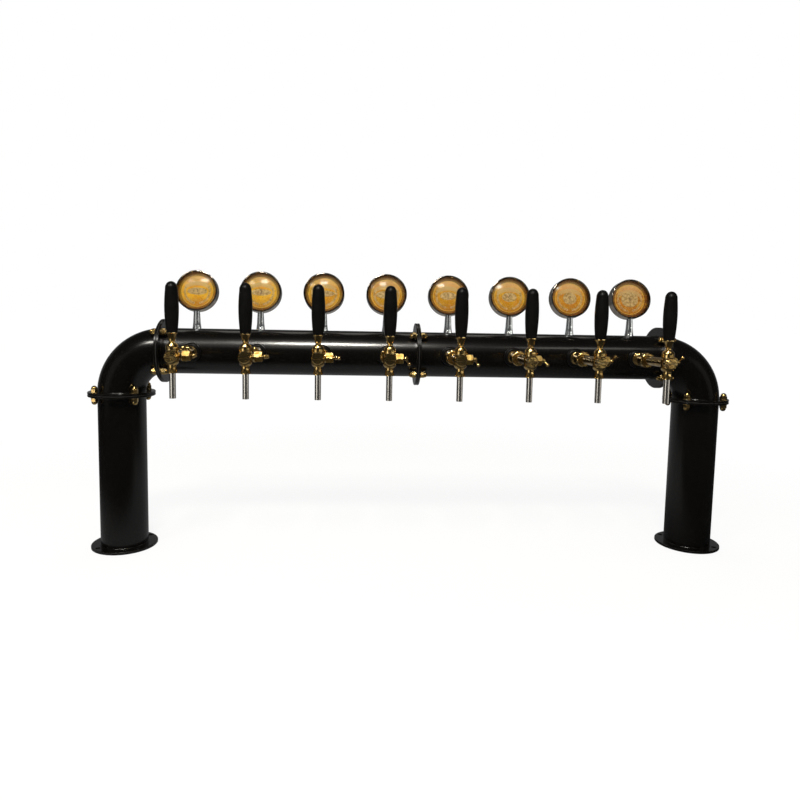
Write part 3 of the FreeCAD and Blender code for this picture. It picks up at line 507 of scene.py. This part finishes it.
class Shape(Nodes):
    """A geometry tree with named inputs. The first holds the spots where the shape is repeated."""

    def __init__(self, name, **inputs):
        super().__init__(bpy.data.node_groups.new(name, "GeometryNodeTree"))
        interface = self.tree.interface
        interface.new_socket("Geometry", in_out="INPUT", socket_type="NodeSocketGeometry")
        kinds = {float: "NodeSocketFloat", int: "NodeSocketInt",
                 bpy.types.Material: "NodeSocketMaterial"}
        self.settings = {}
        for title, value in inputs.items():
            socket = interface.new_socket(title.replace("_", " "), in_out="INPUT",
                                          socket_type=kinds[type(value)])
            self.settings[socket.identifier] = value
        interface.new_socket("Geometry", in_out="OUTPUT", socket_type="NodeSocketGeometry")
        self.entry = self.tree.nodes.new("NodeGroupInput")

    def given(self, title):
        return Value(self.tree, self.entry.outputs[title])

    def finish_at_spots(self, shape):
        """Put the shape on every spot, turned as the spot says, as real mesh with its material."""
        turn = self.node("GeometryNodeInputNamedAttribute", {"Name": "turn"},
                         data_type="FLOAT_VECTOR")
        placed = self.node("GeometryNodeInstanceOnPoints",
                           {"Points": self.given("Geometry"), "Instance": shape, "Rotation": turn})
        real = self.node("GeometryNodeRealizeInstances", {"Geometry": placed})
        smooth = self.node("GeometryNodeSetShadeSmooth", {"Geometry": real})
        done = self.node("GeometryNodeSetMaterial",
                         {"Geometry": smooth, "Material": self.given("Material")})
        exit_node = self.tree.nodes.new("NodeGroupOutput")
        self.tree.links.new(done.socket, exit_node.inputs["Geometry"])

    def grow(self, name, spots, body, slot):
        """Run the tree on spots of (place, turn) and keep the result as a plain mesh on a body."""
        mesh = bpy.data.meshes.new(name + "_spots")
        mesh.from_pydata([place for place, turn in spots], [], [])
        turns = mesh.attributes.new("turn", "FLOAT_VECTOR", "POINT")
        for index, (place, turn) in enumerate(spots):
            turns.data[index].vector = turn
        seed = bpy.data.objects.new(name + "_spots", mesh)
        bpy.context.scene.collection.objects.link(seed)
        modifier = seed.modifiers.new("Grow", "NODES")
        modifier.node_group = self.tree
        for identifier, value in self.settings.items():
            modifier[identifier] = value
        depsgraph = bpy.context.evaluated_depsgraph_get()
        grown = bpy.data.meshes.new_from_object(seed.evaluated_get(depsgraph))
        bpy.data.objects.remove(seed)
        grown.name = name
        piece = bpy.data.objects.new(name, grown)
        bpy.context.scene.collection.objects.link(piece)
        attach(piece, body)
        return piece


def weld_beads():
    """A painted weld bead where each flange meets the tube."""
    shape = Shape("WeldBead", Tube_Radius=TUBE_RADIUS, Bead_Radius=0.0016, Ripple_Depth=0.0005,
                  Ripple_Scale=240.0, Steps=96, Profile_Steps=8, Material=PAINT)
    ring = shape.node("GeometryNodeCurvePrimitiveCircle",
                      {"Resolution": shape.given("Steps"), "Radius": shape.given("Tube Radius")})
    profile = shape.node("GeometryNodeCurvePrimitiveCircle",
                         {"Resolution": shape.given("Profile Steps"),
                          "Radius": shape.given("Bead Radius")})
    bead = shape.node("GeometryNodeCurveToMesh", {"Curve": ring, "Profile Curve": profile})
    ripple = shape.node("ShaderNodeTexNoise", {"Scale": shape.given("Ripple Scale"), "Detail": 1.0})
    normal = shape.node("GeometryNodeInputNormal")
    height = (ripple - 0.5) * shape.given("Ripple Depth")
    push = shape.node("ShaderNodeVectorMath", {0: normal, "Scale": height}, operation="SCALE")
    shape.finish_at_spots(shape.node("GeometryNodeSetPosition", {"Geometry": bead, "Offset": push}))
    upright, along = (0, 0, 0), (0, math.pi / 2, 0)
    leg_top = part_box("left_leg")[1].z
    elbow_low, elbow_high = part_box("left_elbow")
    arm_low, arm_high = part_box("left_arm")
    spots = []
    for side in (-1, 1):
        for level in (FOOT_THICKNESS, leg_top - FLANGE_THICKNESS, elbow_low.z + FLANGE_THICKNESS):
            spots.append(((side * LEG_X, 0, level), upright))
        for reach in (abs(elbow_high.x) + FLANGE_THICKNESS, abs(arm_low.x) - FLANGE_THICKNESS,
                      abs(arm_high.x) + FLANGE_THICKNESS):
            spots.append(((side * reach, 0, AXIS_HEIGHT), along))
    shape.grow("weld_beads", spots, TOWER, "black_paint")


def shank_threads():
    """The turns of thread that show on each shank between its cover ring and its coupling nut."""
    gap_at_ring, gap_at_nut = 0.0015, 0.0012
    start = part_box("tap_rosettes")[0].y - gap_at_ring
    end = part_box("coupling_nuts")[1].y + gap_at_nut
    shape = Shape("ThreadTurns", Radius=COLLAR_RADIUS, Length=start - end, Lead=0.0018,
                  Depth=0.00055, Steps_in_a_Turn=28, Profile_Steps=5, Material=BRASS)
    turns = shape.given("Length") / shape.given("Lead")
    path = shape.node("GeometryNodeCurveSpiral",
                      {"Resolution": shape.given("Steps in a Turn"), "Rotations": turns,
                       "Start Radius": shape.given("Radius"), "End Radius": shape.given("Radius"),
                       "Height": shape.given("Length")})
    profile = shape.node("GeometryNodeCurvePrimitiveCircle",
                         {"Resolution": shape.given("Profile Steps"),
                          "Radius": shape.given("Depth")})
    thread = shape.node("GeometryNodeCurveToMesh", {"Curve": path, "Profile Curve": profile})
    shape.finish_at_spots(thread)
    spots = [((station, start, AXIS_HEIGHT), (math.pi / 2, 0, 0)) for station in STATIONS]
    shape.grow("shank_threads", spots, TOWER, "brass")


def badge_spots():
    """The front of each printed face and how it is turned: across, up and out of the face."""
    turn = Euler((math.pi / 2 - BADGE_LEAN, 0, 0))
    front = BADGE_CENTRE + turn.to_matrix() @ Vector((0, 0, BADGE_THICKNESS / 2))
    return [((station, front.y, front.z), turn) for station in STATIONS]


def barley_ears():
    """Two raised ears of barley round the lower half of each badge."""
    shape = Shape("BarleyEars", Grains=11, Ear_Radius=0.0275, Ear_Start=math.radians(14),
                  Ear_Sweep=math.radians(105), Grain_Length=0.0058, Grain_Width=0.0024,
                  Grain_Height=0.0005, Row_Shift=0.0012, Tilt=math.radians(28),
                  Material=CREAM_PRINT)
    count = shape.given("Grains")
    ball = shape.node("GeometryNodeMeshUVSphere", {"Segments": 8, "Rings": 5, "Radius": 0.5})
    size = shape.node("ShaderNodeCombineXYZ",
                      {"X": shape.given("Grain Length"), "Y": shape.given("Grain Width"),
                       "Z": shape.given("Grain Height")})
    grain = shape.node("GeometryNodeTransform", {"Geometry": ball, "Scale": size})
    index = shape.node("GeometryNodeInputIndex")
    ears = shape.node("GeometryNodeJoinGeometry")
    for side in (-1, 1):
        along = shape.given("Ear Start") + index / count * shape.given("Ear Sweep")
        angle = -math.pi / 2 + side * along
        for row in (-1, 1):
            reach = shape.given("Ear Radius") + row * shape.given("Row Shift")
            place = shape.node("ShaderNodeCombineXYZ", {"X": angle.math("COSINE") * reach,
                                                        "Y": angle.math("SINE") * reach})
            points = shape.node("GeometryNodePoints", {"Count": count, "Position": place})
            turn = shape.node("ShaderNodeCombineXYZ",
                              {"Z": angle + math.pi / 2 - side * row * shape.given("Tilt")})
            ear = shape.node("GeometryNodeInstanceOnPoints",
                             {"Points": points, "Instance": grain, "Rotation": turn})
            shape.tree.links.new(ear.socket, ears.socket.node.inputs[0])
    shape.finish_at_spots(ears)
    shape.grow("barley_ears", badge_spots(), TOWER, "badge_print")


def joined(name, meshes, material):
    """Several meshes as one piece that rides on the tower."""
    whole = bmesh.new()
    for mesh in meshes:
        whole.from_mesh(mesh)
    result = bpy.data.meshes.new(name)
    whole.to_mesh(result)
    whole.free()
    result.materials.append(material)
    piece = bpy.data.objects.new(name, result)
    bpy.context.scene.collection.objects.link(piece)
    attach(piece, TOWER)
    return piece


def plaque(width, height):
    """A flat oval with a slightly rounded edge, lying on its own XY plane."""
    steps, thickness = 48, 0.0004
    profile = ((0, 0), (0.0001, thickness * 0.6), (0.0005, thickness))
    mesh = bpy.data.meshes.new("plaque")
    work = bmesh.new()
    rings = []
    for inset, level in profile:
        ring = []
        for step in range(steps):
            angle = 2 * math.pi * step / steps
            ring.append(work.verts.new(((width / 2 - inset) * math.cos(angle),
                                        (height / 2 - inset) * math.sin(angle), level)))
        rings.append(ring)
    for lower, upper in zip(rings, rings[1:]):
        for step in range(steps):
            following = (step + 1) % steps
            work.faces.new((lower[step], lower[following], upper[following], upper[step]))
    work.faces.new(rings[-1])
    work.faces.new(reversed(rings[0]))
    work.to_mesh(mesh)
    work.free()
    return mesh


def badge_prints():
    """On each badge a pale plaque with the number of its tap."""
    number_height, number_relief, number_lift = 0.011, 0.0001, 0.0005
    plaques, numbers = [], []
    for number, (size, (place, turn)) in enumerate(zip(PLAQUES, badge_spots()), start=1):
        at = Matrix.LocRotScale(Vector(place), turn, None)
        mesh = plaque(*size)
        mesh.transform(at)
        plaques.append(mesh)
        text = bpy.data.curves.new("number", "FONT")
        text.body = str(number)
        text.align_x = "CENTER"
        text.align_y = "CENTER"
        text.size = number_height
        text.extrude = number_relief
        holder = bpy.data.objects.new("number", text)
        bpy.context.scene.collection.objects.link(holder)
        depsgraph = bpy.context.evaluated_depsgraph_get()
        digits = bpy.data.meshes.new_from_object(holder.evaluated_get(depsgraph))
        bpy.data.objects.remove(holder)
        digits.transform(at @ Matrix.Translation((0, 0, number_lift)))
        numbers.append(digits)
    joined("badge_plaques", plaques, CREAM_PRINT)
    joined("badge_numbers", numbers, NUMBER_PRINT)


def add_world():
    """White where it shows as the background. Glossy things see that white behind the tower, and a
    dim room in front of it."""
    world = bpy.data.worlds.new("Studio")
    bpy.context.scene.world = world
    world.use_nodes = True
    nodes = Nodes(world.node_tree)
    background = world.node_tree.nodes["Background"]
    direction = nodes.node("ShaderNodeTexCoord", output="Generated")
    depth = nodes.node("ShaderNodeSeparateXYZ", {0: direction}, output="Y")
    height = nodes.node("ShaderNodeSeparateXYZ", {0: direction}, output="Z")
    backdrop = depth.between(*BACKDROP_SIDE) * (1 - height.between(*BACKDROP_TOP))
    shown = nodes.ray("Camera") + nodes.ray("Transmission")
    glossy = nodes.ray("Glossy")
    ambient = AMBIENT * (1 - shown - glossy)
    level = shown + ambient + glossy * (ROOM_LEVEL + (BACKDROP_LEVEL - ROOM_LEVEL) * backdrop)
    background.inputs["Color"].default_value = colour(1, 1, 1)
    join(world.node_tree, level, background.inputs["Strength"])


def add_floor():
    """A pale floor that is white further off, and keeps a soft shadow under the tower."""
    half = FLOOR_HALF_WIDTH
    mesh = bpy.data.meshes.new("floor")
    mesh.from_pydata([(-half, -half, 0), (half, -half, 0), (half, half, 0), (-half, half, 0)], [],
                     [(0, 1, 2, 3)])
    floor = bpy.data.objects.new("floor", mesh)
    bpy.context.scene.collection.objects.link(floor)
    material = bpy.data.materials.new("floor")
    material.use_nodes = True
    nodes = Nodes(material.node_tree)
    place = nodes.node("ShaderNodeTexCoord", output="Object")
    across = nodes.node("ShaderNodeSeparateXYZ", {0: place}, output="X")
    depth = nodes.node("ShaderNodeSeparateXYZ", {0: place}, output="Y")
    reach = nodes.node("ShaderNodeVectorMath", {0: place}, output="Value", operation="LENGTH")
    grain = nodes.node("ShaderNodeTexNoise", {"Scale": 6.0, "Detail": 2.0})
    shown = nodes.ray("Camera") + nodes.ray("Transmission")
    glossy = nodes.ray("Glossy")
    far = reach.between(*WHITE_BEYOND)
    lit = nodes.node("ShaderNodeBsdfDiffuse", {"Color": FLOOR_PAINT})
    in_front = 1 - (0 - depth).between(*PATCH_FRONT)
    in_front = in_front * (1 - (across - PATCH_X).absolute().between(*PATCH_SIDE))
    behind = (depth / reach).between(*BACKDROP_SIDE) * reach.between(*PATCH_BEHIND)
    patch = in_front.math("MAXIMUM", behind) * BACKDROP_LEVEL + ROOM_LEVEL
    white = nodes.node("ShaderNodeEmission", {"Color": colour(1, 1, 1),
                                              "Strength": shown + glossy * patch + 0.01 * grain})
    share = shown * (FLOOR_WHITENESS + (1 - FLOOR_WHITENESS) * far) + glossy
    mixed = nodes.node("ShaderNodeMixShader", {0: share, 1: lit, 2: white})
    surface = material.node_tree.nodes["Material Output"].inputs["Surface"]
    material.node_tree.links.new(mixed.socket, surface)
    mesh.materials.append(material)


def add_lamps():
    """Soft lamps. Each row holds a name, a place, what the lamp faces, its size and power, and for
    some the only finishes that it lights."""
    steel = [CHROME, STEEL]
    plated = steel + [SMOKED_CHROME]
    metal = steel + [BRASS, SATIN_BRASS]
    lamps = [("key", (-0.36, -2.0, 2.7), (-0.2, 0, 0.45), (0.66, 0.35), 60, None),
             ("fill", (1.4, -2.0, 2.6), (0.4, 0, 0.45), (0.9, 0.35), 2.2, None),
             ("corner", (-1.85, -2.0, 2.65), (-0.5, 0, 0.4), (0.7, 0.35), 20, None),
             ("left", (-2.6, -1.3, 0.75), (-0.5, 0, 0.35), (1.2, 1.5), 0.5, None),
             ("right", (2.8, -1.6, 0.8), (0.5, 0, 0.35), (1.0, 1.5), 0.5, None),
             ("top", (0, 1.6, 2.9), (0, 0, 0.4), (3.0, 0.8), 6, None),
             ("left_strip", (-1.75, -1.9, 0.20), (-0.1, -0.19, 0.40), (1.1, 0.32), 1.9, metal),
             ("right_strip", (1.8, -1.5, 0.52), (0, 0, 0.52), (3.0, 0.2), 2.6, metal),
             ("left_panel", (-1.15, -1.64, 0.42), (0, 0, 0.42), (0.9, 1.0), 1.5, steel),
             ("right_panel", (2.5, -0.6, 0.45), (0, 0, 0.45), (1.5, 1.0), 5.0, steel),
             ("front_floor", (0, -1.3, 0.02), (0, -1.3, 1), (5.0, 1.8), 4, plated),
             ("back_floor", (0, 1.3, 0.02), (0, 1.3, 1), (5.0, 1.8), 6, plated)]
    for name, place, target, (width, height), power, finishes in lamps:
        lamp = bpy.data.lights.new(name, "AREA")
        lamp.shape = "RECTANGLE"
        lamp.size = width
        lamp.size_y = height
        lamp.energy = power
        lamp.color = LAMP_COLOUR
        holder = bpy.data.objects.new(name, lamp)
        holder.location = place
        holder.rotation_euler = (Vector(target) - Vector(place)).to_track_quat("-Z", "Y").to_euler()
        holder.visible_camera = False
        holder.visible_transmission = False
        bpy.context.scene.collection.objects.link(holder)
        if finishes:
            lit = bpy.data.collections.new("lit_by_" + name)
            for node in NODES.values():
                if node.data.materials[0] in finishes:
                    lit.objects.link(node)
            holder.light_linking.receiver_collection = lit


def set_camera():
    """The fitted camera, at the photograph's angle and framing."""
    forward = Vector((math.sin(CAMERA_YAW) * math.cos(CAMERA_PITCH),
                      math.cos(CAMERA_YAW) * math.cos(CAMERA_PITCH), -math.sin(CAMERA_PITCH)))
    level = Vector((math.cos(CAMERA_YAW), -math.sin(CAMERA_YAW), 0))
    down = forward.cross(level)
    right = math.cos(CAMERA_ROLL) * level + math.sin(CAMERA_ROLL) * down
    up = math.sin(CAMERA_ROLL) * level - math.cos(CAMERA_ROLL) * down
    data = bpy.data.cameras.new("Camera")
    data.lens = FOCAL_PIXELS / FRAME_PIXELS * data.sensor_width
    data.shift_x = (FRAME_PIXELS / 2 - PRINCIPAL_POINT[0]) / FRAME_PIXELS
    data.shift_y = (PRINCIPAL_POINT[1] - FRAME_PIXELS / 2) / FRAME_PIXELS
    camera = bpy.data.objects.new("Camera", data)
    turn = Matrix((right, up, -forward)).transposed()
    camera.matrix_world = Matrix.LocRotScale(CAMERA_AT, turn.to_quaternion(), None)
    bpy.context.scene.collection.objects.link(camera)
    bpy.context.scene.camera = camera


dress_nodes()
weld_beads()
shank_threads()
barley_ears()
badge_prints()
add_world()
add_floor()
add_lamps()
set_camera()
bpy.context.scene.view_settings.view_transform = "Standard"
